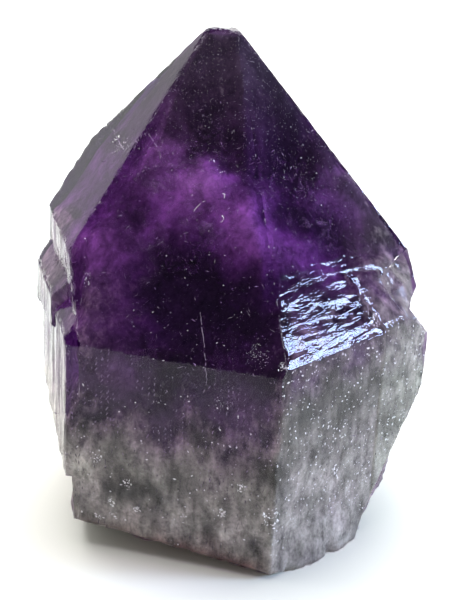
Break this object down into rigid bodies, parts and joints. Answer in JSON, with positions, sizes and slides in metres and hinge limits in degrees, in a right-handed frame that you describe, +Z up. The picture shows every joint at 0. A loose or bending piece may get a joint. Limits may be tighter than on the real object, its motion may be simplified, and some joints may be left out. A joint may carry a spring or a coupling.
{
  "type": "amethyst crystal",
  "caption": "Stout amethyst point: hexagonal prism with a rhombohedral tip, purple above and milky grey at its broken flat base, with small parallel crystals on its sides.",
  "frame": {"origin": "where the crystal's c axis meets its flat broken base", "axes": "+Z up along the c axis to the tip; the picture looks along +Y, with +X to its right"},
  "size_m": [0.0633, 0.0671, 0.0763],
  "materials": {
    "amethyst": "glassy growth faces, frosted tip and breaks, milky grey root"
  },
  "bodies": {
    "root": {"amethyst_crystal": "amethyst"}
  },
  "joints": []
}
